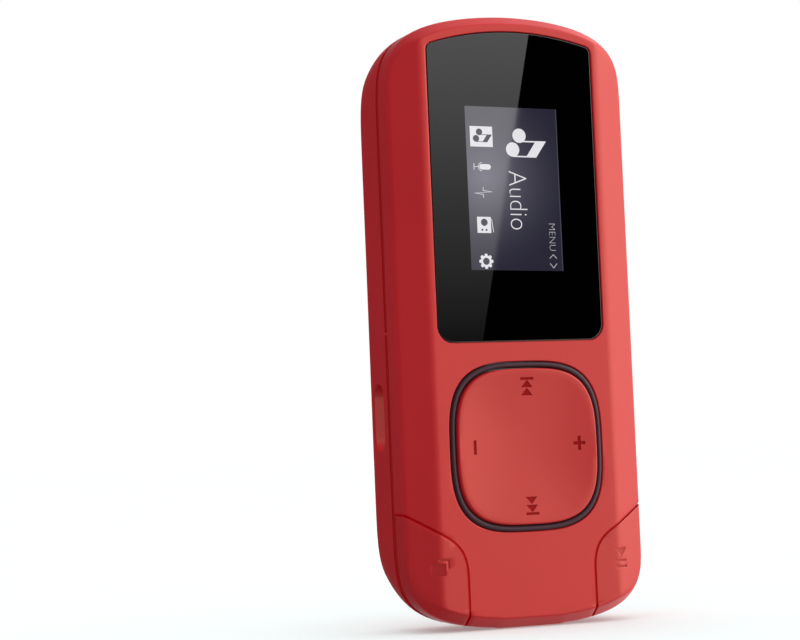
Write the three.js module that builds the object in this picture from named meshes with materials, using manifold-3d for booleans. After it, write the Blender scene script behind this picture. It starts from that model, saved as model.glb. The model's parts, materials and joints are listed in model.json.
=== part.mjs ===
// A clip-on digital audio player, built as the assembly it is.
// Millimetres, +Z up along the player's long axis, the display faces -Y, +X is on the right from the front.
// The origin is the middle of the base of the whole object. Inside the player group, y is the depth behind
// the flat front face, so every y below reads as a depth.
import * as THREE from "three";
import { mergeVertices } from "three/addons/utils/BufferGeometryUtils.js";
import Module from "manifold-3d";

const wasm = await Module();
wasm.setup();

// ---- Driving dimensions ------------------------------------------------------------------------------

const HEIGHT = 76;
const BODY_DEPTH = 12.6; // flat front face to flat back
const CLIP_DEPTH = 17; // flat front face to the outside of the clip
const PAD_PROUD = 0.5; // the pad's rim stands this far in front of the flat face
const SEAM_DEPTH = 5.35; // middle of the seam between the two shells
const SEAM_GAP = 0.2;
const WALL = 1.3;
const FRONT_WALL = 1.9;
const BACK_WALL = 1.2;

// The outline is a pair of mixed-exponent superellipse ends on slightly tapered sides.
const TOP_END = { halfWidth: 15.95, rise: 30, across: 1.9, along: 12 };
const BASE_END = { halfWidth: 16, rise: 21.2, across: 2.5, along: 8.1 };
const FOOT_HALF_WIDTH = 4; // the base is truly flat between these
const END_STEPS = 14;

// Side facets fall away from the flat front, and the back edge is rounded.
const FACET = { depth: 1.7, flatHalfWidth: 12, side: 4, rim: 0.5, base: 1.3, top: 1.2 };
const BACK_RADIUS = 1.5;

// Behind the seam both ends sweep in towards the back: how far at the back, and how late.
const SWEEP = { base: 3.6, basePower: 1.9, top: 2.8, topPower: 2.6 };

// Display window in the front face.
const WINDOW = { halfWidth: 11.1, base: 35.2, top: 73.75, archRadius: 36, baseCorner: 2, topCorner: 0.9 };
const WINDOW_FRONT = 0.12;
const WINDOW_THICK = 0.95;
const WINDOW_GAP = 0.1;
const LEDGE_WIDTH = 1.4;

// Four-way pad, and the dark trim ring round it.
const PAD = { z: 22.2, halfWidth: 10.25, halfHeight: 10.5, exponent: 3.22 };
const RING_WIDTH = 0.65;
const RING_GAP = 0.1; // ring to front shell
const PAD_GAP = 0.2; // pad to ring
const DISH_DEPTH = 0.6;
const PIVOT_DEPTH = 4.4; // depth of the pad's tilt axes
const SWITCH_REACH = 6.9; // pad centre to each of its four domes

// Corner buttons: each is the whole lower corner of the front, from the flat face back to the seam.
const CORNER = { seamX: 8.7, sideZ: 14.3, slope: 0.6, gap: 0.16, travel: 0.25 };

// Circuit board and what stands on it.
const BOARD = { front: 6.2, back: 7, inset: 1.75 };
const BOARD_POSTS = [
  [-12.7, 63],
  [12.7, 63],
  [-12.9, 18.2],
  [12.9, 18.2],
];
const LIFT = 0.05; // clearance under each soldered part

// Openings in the sides.
const USB = { z: 26.5, depth: 9, length: 8.4, height: 3.6 };
const CARD = { z: 27.2, depth: 7.9, length: 11.6, height: 1 };
const JACK = {
  depth: 9.25,
  mouthRadius: 2.35,
  noseRadius: 2.12,
  noseBase: 2.6,
  boreRadius: 1.78,
  bodyBase: 4.1,
  bodyTop: 15.8,
};
const MIC = { z: 36.8, radius: 0.5 };

// Clip on the back: a sprung arm on a cross pin.
const CLIP = { z: 57.5, depth: 14.1, base: 24, top: 68.5, halfWidth: 8.6, thick: 2, jaw: 12.9 };
const PIN_RADIUS = 0.6;
const KNUCKLE_RADIUS = 1.3;

// ---- Materials ---------------------------------------------------------------------------------------

const surface = (color, roughness, metalness = 0) =>
  new THREE.MeshStandardMaterial({ color, roughness, metalness });

const coral = surface(0xcf4540, 0.55);
const darkCoral = surface(0xc23c3a, 0.6);
const blackGlass = surface(0x07070a, 0.05);
const ringPlastic = surface(0x47302f, 0.45);
const screenGlass = surface(0x3c3748, 0.2);
const foam = surface(0x1d1d1f, 0.95);
const flexFilm = surface(0xb5702a, 0.4);
const boardGreen = surface(0x1c4a38, 0.5);
const chipBlack = surface(0x18181a, 0.6);
const tin = surface(0xb9bcc0, 0.3, 1);
const spring = surface(0xc9cbce, 0.25, 1);
const silicone = surface(0x8c8c90, 0.8);
const cellFoil = surface(0xa9adb2, 0.35, 0.6);
const whitePlastic = surface(0xd9d6cc, 0.6);
const redWire = surface(0xb02020, 0.5);
const blackWire = surface(0x151515, 0.5);

// ---- Solids ------------------------------------------------------------------------------------------

/** Turns a closed geometry into a solid that can be joined and cut. */
function solid(geometry) {
  const bare = geometry.clone();
  bare.deleteAttribute("normal");
  bare.deleteAttribute("uv");
  const merged = mergeVertices(bare, 1e-4);
  return new wasm.Manifold(
    new wasm.Mesh({
      numProp: 3,
      vertProperties: new Float32Array(merged.attributes.position.array),
      triVerts: new Uint32Array(merged.index.array),
    }),
  );
}

/** Turns a solid back into a geometry. */
function geometryOf(body) {
  const mesh = body.getMesh();
  const geometry = new THREE.BufferGeometry();
  geometry.setAttribute("position", new THREE.BufferAttribute(mesh.vertProperties, 3));
  geometry.setIndex(new THREE.BufferAttribute(mesh.triVerts, 1));
  geometry.computeVertexNormals();
  return geometry;
}

/** Box between two corners. */
function block([x0, y0, z0], [x1, y1, z1]) {
  const box = new THREE.BoxGeometry(x1 - x0, y1 - y0, z1 - z0);
  return box.translate((x0 + x1) / 2, (y0 + y1) / 2, (z0 + z1) / 2);
}

/** Cylinder of a radius between two points on one axis ("x", "y" or "z"). */
function rod(axis, radius, from, to, [u, v], sides = 24) {
  const cylinder = new THREE.CylinderGeometry(radius, radius, to - from, sides);
  const middle = (from + to) / 2;
  if (axis === "x") return cylinder.rotateZ(Math.PI / 2).translate(middle, u, v);
  if (axis === "y") return cylinder.translate(u, middle, v);
  return cylinder.rotateX(Math.PI / 2).translate(u, v, middle);
}

/** Shape drawn in x and z, extruded from one depth to another. */
function prismY(shape, from, to, curveSegments = 8) {
  const options = { depth: to - from, bevelEnabled: false, curveSegments };
  return new THREE.ExtrudeGeometry(shape, options).rotateX(Math.PI / 2).translate(0, to, 0);
}

/** Shape drawn in depth and z, extruded from one x to another. */
function prismX(shape, from, to, curveSegments = 8) {
  const options = { depth: to - from, bevelEnabled: false, curveSegments };
  const turn = new THREE.Matrix4().makeBasis(
    new THREE.Vector3(0, 1, 0),
    new THREE.Vector3(0, 0, 1),
    new THREE.Vector3(1, 0, 0),
  );
  return new THREE.ExtrudeGeometry(shape, options).applyMatrix4(turn).translate(from, 0, 0);
}

/** Closed skin through rings of equal point count, front to back, with a flat fan at each end. */
function loft(stations) {
  const count = stations[0].ring.length;
  const positions = stations.flatMap(({ y, ring }) => ring.flatMap(([x, z]) => [x, y, z]));
  const triangles = [];
  for (let s = 0; s + 1 < stations.length; s++) {
    for (let i = 0; i < count; i++) {
      const a = s * count + i;
      const b = s * count + ((i + 1) % count);
      triangles.push(a, a + count, b + count, a, b + count, b);
    }
  }
  const addCap = (station, facesFront) => {
    const { y, ring } = stations[station];
    const sum = ring.reduce((total, [x, z]) => [total[0] + x / count, total[1] + z / count], [0, 0]);
    const middle = positions.length / 3;
    positions.push(sum[0], y, sum[1]);
    for (let i = 0; i < count; i++) {
      const a = station * count + i;
      const b = station * count + ((i + 1) % count);
      triangles.push(middle, ...(facesFront ? [a, b] : [b, a]));
    }
  };
  addCap(0, true);
  addCap(stations.length - 1, false);
  const geometry = new THREE.BufferGeometry();
  geometry.setAttribute("position", new THREE.Float32BufferAttribute(positions, 3));
  geometry.setIndex(triangles);
  return geometry;
}

// ---- Outlines ----------------------------------------------------------------------------------------

/** A quarter of an end of the outline, from the side to the middle, as [x, distance past the centre]. */
function endQuarter({ halfWidth, rise, across, along }, steps) {
  return Array.from({ length: steps + 1 }, (_, i) => {
    const angle = (Math.PI / 2) * (i / steps) ** 3; // bunches the points where the curve turns
    return [halfWidth * Math.cos(angle) ** (2 / across), rise * Math.sin(angle) ** (2 / along)];
  });
}

/** The whole outline as [x, z] points, anticlockwise from the front, starting at the right of the foot. */
function bodyOutline() {
  const base = endQuarter(BASE_END, END_STEPS)
    .slice(0, -1)
    .map(([x, past]) => [x, BASE_END.rise - past])
    .reverse();
  const top = endQuarter(TOP_END, END_STEPS).map(([x, past]) => [x, HEIGHT - TOP_END.rise + past]);
  const right = [[FOOT_HALF_WIDTH, 0], ...base, ...top];
  const left = right
    .slice(0, -1)
    .reverse()
    .map(([x, z]) => [-x, z]);
  return [...right, ...left];
}

const OUTLINE = bodyOutline();

/** The outline drawn in by separate amounts at the sides, the base and the top. */
function insetOutline(side, base = side, top = side) {
  const wide = 1 - side / BASE_END.halfWidth;
  const tall = (HEIGHT - base - top) / HEIGHT;
  return OUTLINE.map(([x, z]) => [x * wide, base + z * tall]);
}

/** The outline at a depth, with its ends swept in, drawn in all round by a margin. */
function sectionAt(y, margin = 0) {
  const share = Math.max(y - SEAM_DEPTH, 0) / (BODY_DEPTH - SEAM_DEPTH);
  const base = SWEEP.base * share ** SWEEP.basePower;
  const top = SWEEP.top * share ** SWEEP.topPower;
  return insetOutline(margin, margin + base, margin + top);
}

/**
 * A level line of the front: 1 is the edge of the flat face, 0 is the side wall. Straight facets fall away
 * along both sides, and a narrow one follows the outline.
 */
function facetRing(share, inset) {
  const reach = FACET.flatHalfWidth + FACET.side * (1 - share) - inset;
  const ring = insetOutline(FACET.rim * share + inset, FACET.base * share + inset, FACET.top * share + inset);
  return ring.map(([x, z]) => [Math.max(-reach, Math.min(reach, x)), z]);
}

/** Outside of the body between two depths, with its facets and its rounded back edge. */
function bodySkin(from, to, inset = 0) {
  const stations = [];
  if (from < FACET.depth) {
    const foot = FACET.depth + inset * 0.6;
    for (const share of [1, 0.8, 0.6, 0.4, 0.2, 0]) {
      stations.push({ y: foot + (from - foot) * share, ring: facetRing(share, inset) });
    }
  } else {
    stations.push({ y: from, ring: sectionAt(from, inset) });
  }
  const roundFrom = BODY_DEPTH - BACK_RADIUS;
  for (const share of [0.25, 0.5, 0.75]) {
    const y = SEAM_DEPTH + share * (roundFrom - SEAM_DEPTH);
    if (y > from && y < to) stations.push({ y, ring: sectionAt(y, inset) });
  }
  if (to > roundFrom) {
    const reach = to - roundFrom;
    for (const turn of [0, 0.25, 0.5, 0.75, 1]) {
      const angle = turn * (Math.PI / 2);
      const y = roundFrom + reach * Math.sin(angle);
      stations.push({ y, ring: sectionAt(y, inset + reach * (1 - Math.cos(angle))) });
    }
  } else {
    stations.push({ y: to, ring: sectionAt(to, inset) });
  }
  return solid(loft(stations));
}

/** Superellipse ring of points in x and z about the pad's centre, grown by a margin. */
function padRing(margin, count = 48) {
  return Array.from({ length: count }, (_, i) => {
    const angle = (i / count) * 2 * Math.PI;
    const power = 2 / PAD.exponent;
    const c = Math.cos(angle);
    const s = Math.sin(angle);
    const x = Math.sign(c) * Math.abs(c) ** power * (PAD.halfWidth + margin);
    const z = Math.sign(s) * Math.abs(s) ** power * (PAD.halfHeight + margin);
    return [x, PAD.z + z];
  });
}

const padPrism = (margin, from, to, count = 48) =>
  loft([from, to].map((y) => ({ y, ring: padRing(margin, count) })));

/** Window outline: flat base with round corners, and an arched top. */
function windowShape(margin) {
  const { halfWidth, base, top, archRadius, baseCorner, topCorner } = WINDOW;
  const side = halfWidth + margin;
  const low = base - margin;
  const radius = archRadius + margin;
  const archZ = top - archRadius;
  const lowRound = Math.max(baseCorner + margin, 0.2);
  const highRound = Math.max(topCorner + margin, 0.2);
  // The top corner's circle touches the side and the arch from inside.
  const cornerX = side - highRound;
  const cornerZ = archZ + Math.sqrt((radius - highRound) ** 2 - cornerX ** 2);
  const lean = Math.atan2(cornerZ - archZ, cornerX);
  const shape = new THREE.Shape();
  shape.moveTo(-side + lowRound, low);
  shape.lineTo(side - lowRound, low);
  shape.absarc(side - lowRound, low + lowRound, lowRound, -Math.PI / 2, 0, false);
  shape.lineTo(side, cornerZ);
  shape.absarc(cornerX, cornerZ, highRound, 0, lean, false);
  shape.absarc(0, archZ, radius, lean, Math.PI - lean, false);
  shape.absarc(-cornerX, cornerZ, highRound, Math.PI - lean, Math.PI, false);
  shape.lineTo(-side, low + lowRound);
  shape.absarc(-side + lowRound, low + lowRound, lowRound, Math.PI, 1.5 * Math.PI, false);
  return shape;
}

/** Region of a corner button on one side (-1 left, +1 right), grown by a margin: a prism along y. */
function cornerRegion(side, margin, from, to) {
  const innerX = CORNER.seamX - margin;
  const far = BASE_END.halfWidth + 4;
  const highZ = (x) => CORNER.sideZ + margin * 1.1 - CORNER.slope * (BASE_END.halfWidth - x);
  const bendX = innerX + 3.1;
  const shape = new THREE.Shape();
  shape.moveTo(side * far, -2);
  shape.lineTo(side * far, highZ(far));
  shape.lineTo(side * bendX, highZ(bendX));
  const pullX = innerX + 1.1;
  shape.bezierCurveTo(side * pullX, highZ(pullX), side * innerX, 9.7, side * innerX, 6.6);
  shape.lineTo(side * innerX, -2);
  return solid(prismY(shape, from, to, 6));
}

/** Stadium-shaped cutter through a side wall, along x. */
function stadiumCut({ z, depth, length, height }, from, to) {
  const half = length / 2 - height / 2;
  const shape = new THREE.Shape();
  shape.absarc(depth, z + half, height / 2, 0, Math.PI, false);
  shape.absarc(depth, z - half, height / 2, Math.PI, 2 * Math.PI, false);
  return solid(prismX(shape, from, to, 8));
}

// ---- Assembly helpers --------------------------------------------------------------------------------

const player = new THREE.Group();
player.position.y = (PAD_PROUD - CLIP_DEPTH) / 2;

function addGroup(name) {
  const group = new THREE.Group();
  group.name = name;
  player.add(group);
  return group;
}

/** Adds one piece, from a geometry or a solid, and returns its mesh. */
function addPiece(group, name, shape, material) {
  const geometry = shape instanceof THREE.BufferGeometry ? shape : geometryOf(shape);
  const mesh = new THREE.Mesh(geometry, material);
  mesh.name = name;
  group.add(mesh);
  return mesh;
}

// ---- Case --------------------------------------------------------------------------------------------

const caseGroup = addGroup("case");
const FRONT_END = SEAM_DEPTH - SEAM_GAP / 2;
const REAR_START = SEAM_DEPTH + SEAM_GAP / 2;
const LIP = { reach: 0.9, outer: 0.72, clearance: 0.12, room: 0.45 };
const BUTTON_END = FRONT_END - 0.1; // leaves each corner button its travel before it meets the rear shell

/** Hollow of the front half. Past the step it widens, to take the rear shell's lip. */
function frontHollow() {
  const step = REAR_START - LIP.reach - LIP.room;
  const deep = bodySkin(FRONT_WALL, step + 0.5, WALL);
  const wide = bodySkin(step, SEAM_DEPTH + 1, LIP.outer - LIP.clearance);
  return deep.add(wide);
}

/** Solid skin of the front half, before anything is cut through it. */
const frontSkin = (end) => bodySkin(0, end).subtract(frontHollow());

const micHole = solid(rod("x", MIC.radius, -20, -13, [SEAM_DEPTH, MIC.z], 16));

function frontShell() {
  let shell = frontSkin(FRONT_END);
  for (const [x, z] of BOARD_POSTS) {
    shell = shell.add(solid(rod("y", 1.4, FRONT_WALL - 0.6, BOARD.front - LIFT, [x, z], 16)));
    shell = shell.subtract(solid(rod("y", 0.62, FRONT_WALL + 0.4, BOARD.front + 1, [x, z], 12)));
  }
  shell = shell
    .subtract(solid(prismY(windowShape(WINDOW_GAP), -1, WINDOW_FRONT + WINDOW_THICK + 0.15)))
    .subtract(solid(prismY(windowShape(-LEDGE_WIDTH), -1, FRONT_WALL + 1)))
    .subtract(solid(padPrism(0, -1, FRONT_WALL + 1)))
    .subtract(micHole);
  for (const side of [-1, 1]) {
    shell = shell.subtract(cornerRegion(side, CORNER.gap, -1, SEAM_DEPTH + 1));
  }
  return shell;
}

/** Clip lugs: two plates off the back with a cross hole for the pin. */
function clipLug(from, to) {
  const shape = new THREE.Shape();
  shape.moveTo(BODY_DEPTH - 0.3, CLIP.z - 2.4);
  shape.lineTo(CLIP.depth, CLIP.z - KNUCKLE_RADIUS);
  shape.absarc(CLIP.depth, CLIP.z, KNUCKLE_RADIUS, -Math.PI / 2, Math.PI / 2, false);
  shape.lineTo(BODY_DEPTH - 0.3, CLIP.z + 2.4);
  const bore = solid(rod("x", PIN_RADIUS + 0.03, from - 1, to + 1, [CLIP.depth, CLIP.z]));
  return solid(prismX(shape, from, to)).subtract(bore);
}

const LUG = { inner: 4, outer: 5.4 };
const EAR = { inner: 5.6, outer: 7 };

function rearShell() {
  const lip = bodySkin(REAR_START - LIP.reach, REAR_START + 0.5, LIP.outer);
  let shell = bodySkin(REAR_START, BODY_DEPTH)
    .add(lip)
    .subtract(bodySkin(REAR_START - 2, BODY_DEPTH - BACK_WALL, WALL));
  for (const side of [-1, 1]) {
    const [from, to] = [side * LUG.inner, side * LUG.outer].sort((a, b) => a - b);
    shell = shell.add(clipLug(from, to));
  }
  const cardSlot = block(
    [13, CARD.depth - CARD.height / 2, CARD.z - CARD.length / 2],
    [20, CARD.depth + CARD.height / 2, CARD.z + CARD.length / 2],
  );
  return shell
    .subtract(stadiumCut(USB, -20, -13))
    .subtract(solid(cardSlot))
    .subtract(solid(rod("z", JACK.mouthRadius, -2, JACK.bodyBase + 0.4, [0, JACK.depth], 32)))
    .subtract(micHole);
}

addPiece(caseGroup, "front_shell", frontShell(), coral);
addPiece(caseGroup, "rear_shell", rearShell(), coral);

// Window, stuck to a ledge by an adhesive frame.
const windowPane = prismY(windowShape(0), WINDOW_FRONT, WINDOW_FRONT + WINDOW_THICK);
addPiece(caseGroup, "display_window", windowPane, blackGlass);
const adhesiveFrom = WINDOW_FRONT + WINDOW_THICK + 0.02;
const adhesive = solid(prismY(windowShape(-0.15), adhesiveFrom, adhesiveFrom + 0.1, 4)).subtract(
  solid(prismY(windowShape(-LEDGE_WIDTH + 0.1), 0, 3, 4)),
);
addPiece(caseGroup, "window_adhesive", adhesive, foam);

// Trim ring round the pad: a tube with a flange behind the front wall.
const RING_FRONT = -0.08;
const ringTube = solid(padPrism(-RING_GAP, RING_FRONT, FRONT_WALL + 0.1));
const ringFlange = solid(padPrism(0.7, FRONT_WALL + 0.05, FRONT_WALL + 0.45));
const ringHole = solid(padPrism(-RING_GAP - RING_WIDTH, -1, FRONT_WALL + 1));
addPiece(caseGroup, "nav_ring", ringTube.add(ringFlange).subtract(ringHole), ringPlastic);

// ---- Controls ----------------------------------------------------------------------------------------

const controls = addGroup("controls");
const DOME_TOP = 5.85;
const PRESS_ROOM = 0.3; // rest gap between each plunger and its dome

/** Dished pad with a rounded rim, a retaining flange behind the ring, and a plunger over each dome. */
function navPad() {
  const rim = -RING_GAP - RING_WIDTH - PAD_GAP;
  const face = [
    { scale: 0.02, y: -PAD_PROUD + DISH_DEPTH },
    { scale: 0.45, y: -PAD_PROUD + DISH_DEPTH * 0.8 },
    { scale: 0.75, y: -PAD_PROUD + DISH_DEPTH * 0.42 },
    { scale: 0.95, y: -PAD_PROUD + 0.05 },
    { scale: 0.98, y: -PAD_PROUD },
    { scale: 1, y: -PAD_PROUD + 0.25 },
    { scale: 1, y: 2.9 },
  ];
  const edge = padRing(rim, 40);
  const stations = face.map(({ scale, y }) => ({
    y,
    ring: edge.map(([x, z]) => [x * scale, PAD.z + (z - PAD.z) * scale]),
  }));
  let pad = solid(loft(stations)).add(solid(padPrism(0.2, 2.95 - 0.1, 3.45, 40)));
  for (const [x, z] of domePlaces()) {
    pad = pad.add(solid(rod("y", 1, 3, DOME_TOP - PRESS_ROOM, [x, z], 16)));
  }
  // Socket for the pivot.
  return pad.subtract(solid(rod("y", 1.9, 1.6, 4, [0, PAD.z], 20)));
}

/** Where the pad's four domes sit, in the order previous, next, minus, plus. */
function domePlaces() {
  return [
    [0, PAD.z + SWITCH_REACH],
    [0, PAD.z - SWITCH_REACH],
    [-SWITCH_REACH, PAD.z],
    [SWITCH_REACH, PAD.z],
  ];
}

const pivotProfile = [
  [0, 0],
  [1.5, 0],
  [1.5, 1.2],
  [0.9, 1.9],
  [0.9, 3],
  [1.5, 4],
  [1.5, 4.3],
  [0, 4.3],
].map(([r, h]) => new THREE.Vector2(r, h));
const pivotBack = BOARD.front - LIFT - 0.05;
const pivot = addPiece(controls, "nav_pivot", new THREE.LatheGeometry(pivotProfile, 20), silicone);
pivot.position.set(0, pivotBack - 4.3, PAD.z);

addPiece(controls, "nav_pad", navPad(), coral);

const BUTTON_SWITCH = { x: 11.4, z: 8 };

/** Corner of the front skin, with a post towards its switch. */
function cornerButton(side) {
  const { x, z } = BUTTON_SWITCH;
  const post = solid(rod("y", 1.1, FRONT_WALL - 0.5, DOME_TOP - PRESS_ROOM - 0.35, [side * x, z], 16));
  return frontSkin(BUTTON_END).add(post).intersect(cornerRegion(side, 0, -1, SEAM_DEPTH + 2));
}

addPiece(controls, "mode_button", cornerButton(-1), darkCoral);
addPiece(controls, "play_button", cornerButton(1), darkCoral);

// ---- Electronics -------------------------------------------------------------------------------------

const electronics = addGroup("electronics");

/** A part soldered to the front of the board, by centre, size and height. */
function chip(name, [x, z], [width, length], height, material = chipBlack) {
  const piece = addPiece(electronics, name, new THREE.BoxGeometry(width, height, length), material);
  piece.position.set(x, BOARD.front - LIFT - height / 2, z);
}

function mainBoard() {
  const shape = new THREE.Shape(insetOutline(BOARD.inset).map(([x, z]) => new THREE.Vector2(x, z)));
  let board = solid(prismY(shape, BOARD.front, BOARD.back));
  for (const [x, z] of BOARD_POSTS) {
    board = board.subtract(solid(rod("y", 0.8, BOARD.front - 1, BOARD.back + 1, [x, z], 16)));
  }
  return board;
}

addPiece(electronics, "main_board", mainBoard(), boardGreen);

// Self-tapping screws from behind the board into the front shell's posts.
const screwProfile = [
  [0, 0],
  [0.5, 0],
  [0.5, 4],
  [1.25, 4],
  [1.25, 4.5],
  [0.9, 4.8],
  [0, 4.8],
].map(([r, h]) => new THREE.Vector2(r, h));
BOARD_POSTS.forEach(([x, z], index) => {
  const screw = new THREE.LatheGeometry(screwProfile, 16);
  const piece = addPiece(electronics, `board_screw_${index + 1}`, screw, tin);
  piece.position.set(x, BOARD.back + LIFT - 4, z);
});

// Snap domes and the two corner switches.
const domeProfile = [
  [0, 0],
  [2, 0],
  [1.9, 0.12],
  [1.1, 0.27],
  [0, 0.3],
].map(([r, h]) => new THREE.Vector2(r, h));
["previous", "next", "minus", "plus"].forEach((name, index) => {
  const [x, z] = domePlaces()[index];
  const dome = addPiece(electronics, `dome_${name}`, new THREE.LatheGeometry(domeProfile, 20), spring);
  dome.rotation.x = Math.PI;
  dome.position.set(x, BOARD.front - LIFT, z);
});
for (const [name, side] of [["mode", -1], ["play", 1]]) {
  chip(`switch_${name}`, [side * BUTTON_SWITCH.x, BUTTON_SWITCH.z], [3.4, 3.4], 0.65, tin);
}

// Display, its gasket against the window, and the flex that folds back to the board.
const SCREEN = { halfWidth: 8.6, base: 40.6, top: 68.4, thick: 1.4 };
const gasketFrom = WINDOW_FRONT + WINDOW_THICK + 0.03;
const screenFrom = gasketFrom + 0.34;
const gasketPlate = block(
  [-SCREEN.halfWidth, gasketFrom, SCREEN.base],
  [SCREEN.halfWidth, gasketFrom + 0.3, SCREEN.top],
);
const gasketOpening = block([-7.3, 0, 43], [7.3, 3, 65.4]);
addPiece(electronics, "display_gasket", solid(gasketPlate).subtract(solid(gasketOpening)), foam);
const screenPanel = block(
  [-SCREEN.halfWidth, screenFrom, SCREEN.base],
  [SCREEN.halfWidth, screenFrom + SCREEN.thick, SCREEN.top],
);
addPiece(electronics, "display_panel", screenPanel, screenGlass);

function flexRibbon() {
  const thick = 0.15;
  const front = screenFrom + 0.6;
  const back = BOARD.front - 0.75;
  const bend = (back - front) / 2;
  const turnZ = SCREEN.base - 1.6;
  const shape = new THREE.Shape();
  shape.moveTo(front, SCREEN.base - 0.1);
  shape.lineTo(front, turnZ);
  shape.absarc(front + bend, turnZ, bend, Math.PI, 2 * Math.PI, false);
  shape.lineTo(back, turnZ + 3);
  shape.lineTo(back - thick, turnZ + 3);
  shape.lineTo(back - thick, turnZ);
  shape.absarc(front + bend, turnZ, bend - thick, 2 * Math.PI, Math.PI, true);
  shape.lineTo(front + thick, SCREEN.base - 0.1);
  return prismX(shape, -4.5, 4.5, 8);
}

addPiece(electronics, "display_flex", flexRibbon(), flexFilm);
chip("flex_connector", [0, SCREEN.base + 0.5], [10.5, 2.6], 0.6, whitePlastic);

chip("audio_processor", [-6.3, 56], [7, 7], 0.9);
chip("flash_memory", [5.6, 53], [8, 12], 1);
chip("radio_tuner", [-7.2, 48], [3, 3], 0.7);
chip("charge_controller", [-11.6, 27], [2.8, 2.8], 0.9);
chip("clock_crystal", [-11.4, 53], [2, 3.2], 0.7, tin);
const microphone = rod("y", 1.9, BOARD.front - LIFT - 1.3, BOARD.front - LIFT, [-12.2, MIC.z], 20);
addPiece(electronics, "microphone", microphone, tin);

// Charging socket: a folded metal shell round a plastic tongue, its mouth just inside the left wall.
const USB_MOUTH = -14.4;
const USB_LONG = 5;
const usbHalf = 3.75;
const usbFrom = BOARD.back + LIFT;
const usbTo = USB.depth + 1.3;
const usbEnd = USB_MOUTH + USB_LONG;
const usbOuter = block([USB_MOUTH, usbFrom, USB.z - usbHalf], [usbEnd, usbTo, USB.z + usbHalf]);
const usbInner = block(
  [USB_MOUTH - 1, usbFrom + 0.3, USB.z - usbHalf + 0.3],
  [usbEnd - 0.4, usbTo - 0.3, USB.z + usbHalf - 0.3],
);
const usbTongue = block(
  [USB_MOUTH + 0.5, USB.depth - 0.3, USB.z - 1.9],
  [usbEnd - 0.45, USB.depth + 0.3, USB.z + 1.9],
);
addPiece(electronics, "usb_socket_shell", solid(usbOuter).subtract(solid(usbInner)), tin);
addPiece(electronics, "usb_socket_tongue", usbTongue, chipBlack);

// Card socket on the right: a plastic tray under a pressed cover.
const CARD_TRAY = { inner: 1.2, outer: 14.4, halfLength: 6.9 };
const trayLow = CARD.z - CARD_TRAY.halfLength;
const trayHigh = CARD.z + CARD_TRAY.halfLength;
const trayBox = block(
  [CARD_TRAY.inner, BOARD.back + LIFT, trayLow],
  [CARD_TRAY.outer, CARD.depth + 0.55, trayHigh],
);
const trayRoom = block(
  [CARD_TRAY.inner + 1, CARD.depth - 0.4, trayLow + 0.8],
  [CARD_TRAY.outer + 1, CARD.depth + 1, trayHigh - 0.8],
);
const trayCover = block(
  [CARD_TRAY.inner, CARD.depth + 0.6, trayLow],
  [CARD_TRAY.outer, CARD.depth + 0.8, trayHigh],
);
addPiece(electronics, "card_socket_tray", solid(trayBox).subtract(solid(trayRoom)), chipBlack);
addPiece(electronics, "card_socket_cover", trayCover, tin);

// Headphone jack in the base: a moulded body with a bore, and its spring contact.
const jackBody = solid(block([-3, BOARD.back + LIFT, JACK.bodyBase], [3, 11.25, JACK.bodyTop]))
  .add(solid(rod("z", JACK.noseRadius, JACK.noseBase, JACK.bodyBase + 0.1, [0, JACK.depth], 32)))
  .subtract(solid(rod("z", JACK.boreRadius, 0, JACK.bodyTop - 1.2, [0, JACK.depth], 24)))
  .subtract(solid(block([-0.8, 10, 6], [0.8, 12, 12])));
addPiece(electronics, "headphone_jack", jackBody, chipBlack);
const contactShape = new THREE.Shape();
contactShape.moveTo(11.2, 6.1);
contactShape.lineTo(11.2, 11.9);
contactShape.lineTo(11, 11.9);
contactShape.lineTo(11, 9.6);
contactShape.lineTo(10.7, 9);
contactShape.lineTo(11, 8.4);
contactShape.lineTo(11, 6.1);
addPiece(electronics, "jack_contact", prismX(contactShape, -0.6, 0.6), spring);

// Battery on a foam tape behind the board, with its protection board and two leads.
const CELL = { halfWidth: 12, base: 34.6, top: 64, front: 7.5, back: 11.1 };
const cellShape = new THREE.Shape();
const cellHalf = (CELL.back - CELL.front) / 2;
const cellMid = (CELL.back + CELL.front) / 2;
cellShape.absarc(-CELL.halfWidth + cellHalf, cellMid, cellHalf, Math.PI / 2, 1.5 * Math.PI, false);
cellShape.absarc(CELL.halfWidth - cellHalf, cellMid, cellHalf, -Math.PI / 2, Math.PI / 2, false);
const cellBody = new THREE.ExtrudeGeometry(cellShape, {
  depth: CELL.top - CELL.base,
  bevelEnabled: false,
  curveSegments: 8,
});
const cell = addPiece(electronics, "battery_cell", cellBody, cellFoil);
cell.position.z = CELL.base;
const cellTape = block([-8, BOARD.back + 0.06, 38], [8, CELL.front - 0.06, 61]);
addPiece(electronics, "battery_tape", cellTape, foam);
const cellBoard = block([-7, cellMid - 0.4, CELL.top + 0.4], [7, cellMid + 0.4, CELL.top + 3.2]);
addPiece(electronics, "battery_protection_board", cellBoard, boardGreen);

/** A lead from the protection board down to a pad on the back of the main board. */
function leadPath(x) {
  const top = CELL.top + 3.2 + 0.35;
  return new THREE.CatmullRomCurve3([
    new THREE.Vector3(x, cellMid, top),
    new THREE.Vector3(x, cellMid, top + 1.1),
    new THREE.Vector3(x, cellMid - 0.8, top + 1.7),
    new THREE.Vector3(x, BOARD.back + 0.75, top + 1.1),
    new THREE.Vector3(x, BOARD.back + 0.45, top),
    new THREE.Vector3(x, BOARD.back + 0.45, top - 1.4),
  ]);
}

const wireSection = new THREE.Shape();
wireSection.absarc(0, 0, 0.3, 0, 2 * Math.PI, false);
for (const [name, x, material] of [["positive", 3, redWire], ["negative", -3, blackWire]]) {
  const options = { steps: 14, curveSegments: 4, extrudePath: leadPath(x) };
  addPiece(electronics, `battery_lead_${name}`, new THREE.ExtrudeGeometry(wireSection, options), material);
}

// ---- Clip --------------------------------------------------------------------------------------------

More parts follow.
